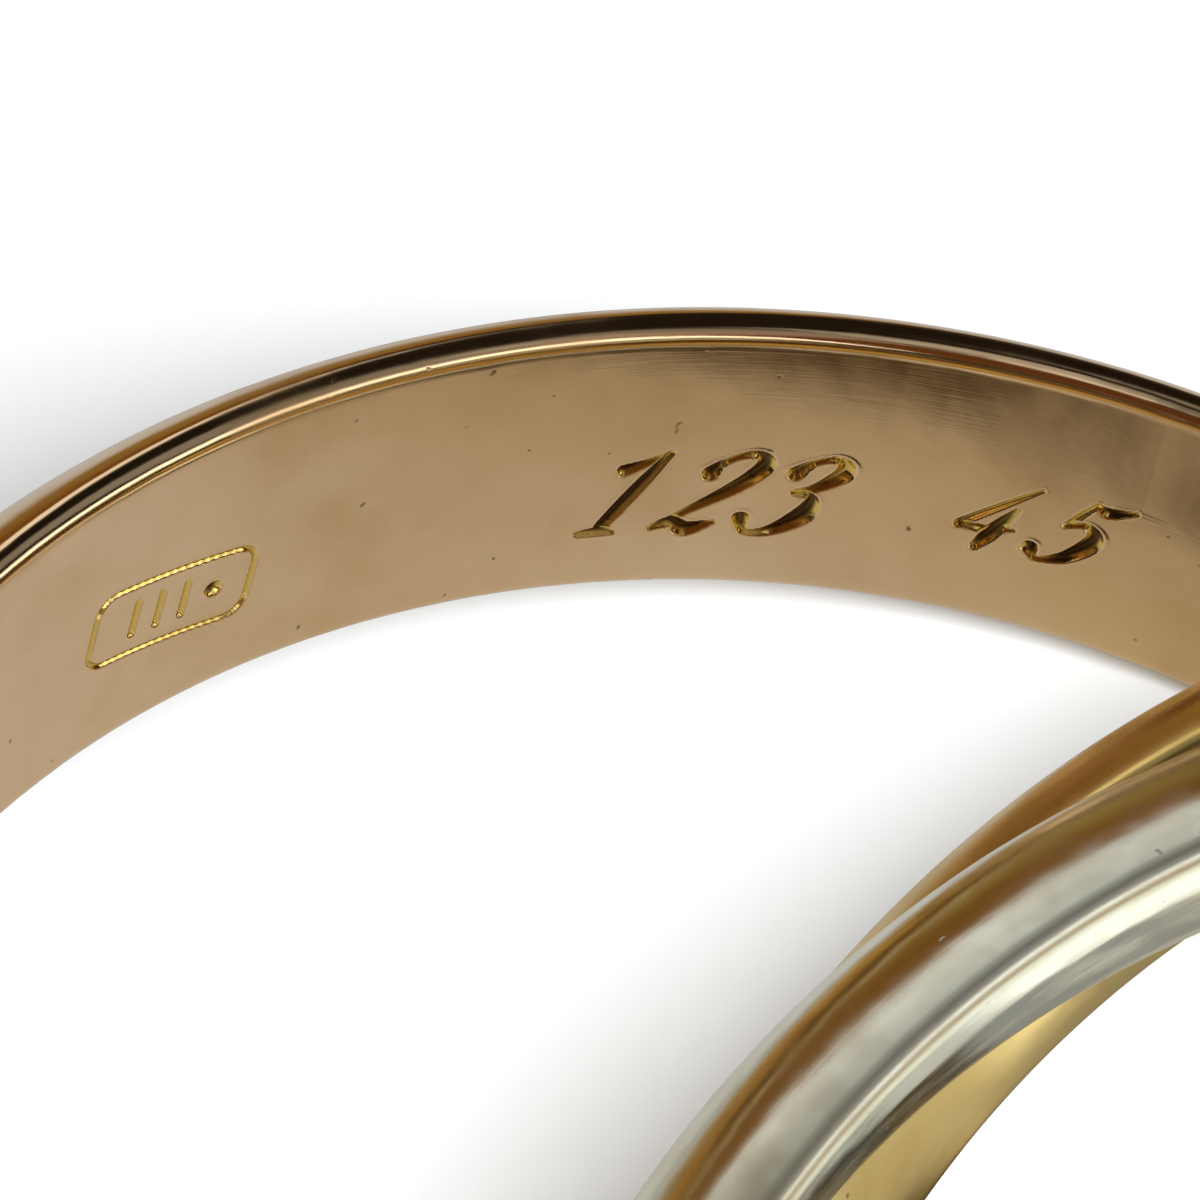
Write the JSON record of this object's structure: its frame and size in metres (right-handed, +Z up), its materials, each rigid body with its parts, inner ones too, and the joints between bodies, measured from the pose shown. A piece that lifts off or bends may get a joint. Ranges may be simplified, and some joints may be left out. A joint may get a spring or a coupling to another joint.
{
  "type": "triple band ring",
  "caption": "Rolling finger ring of plain interlinked gold bands, domed outside and flat inside, lying loosely fanned out on a flat surface.",
  "frame": {"origin": "on the surface that the ring lies on, under the middle of its outline", "axes": "+Z up; X runs the long way across the fanned bands, from the rose band on the left to the white and yellow bands on the right"},
  "size_m": [0.0294, 0.0216, 0.0098],
  "materials": {
    "rose_gold": "polished rose gold with light wear",
    "white_gold": "polished white gold with light wear",
    "yellow_gold": "polished yellow gold with light wear"
  },
  "bodies": {
    "white_band": {"white_band": "white_gold"},
    "rose_band": {"rose_band": "rose_gold"},
    "yellow_band": {"yellow_band": "yellow_gold"}
  },
  "joints": [
    {"name": "rose_spin", "type": "hinge", "parent": "white_band", "child": "rose_band", "pos_m": [-0.00433, -0.00039, 0.00492], "axis": [0.0018, 0.3518, 0.9361], "continuous": true},
    {"name": "yellow_spin", "type": "hinge", "parent": "white_band", "child": "yellow_band", "pos_m": [0.00397, 0.0007, 0.00413], "axis": [-0.1166, -0.2348, 0.965], "continuous": true}
  ]
}
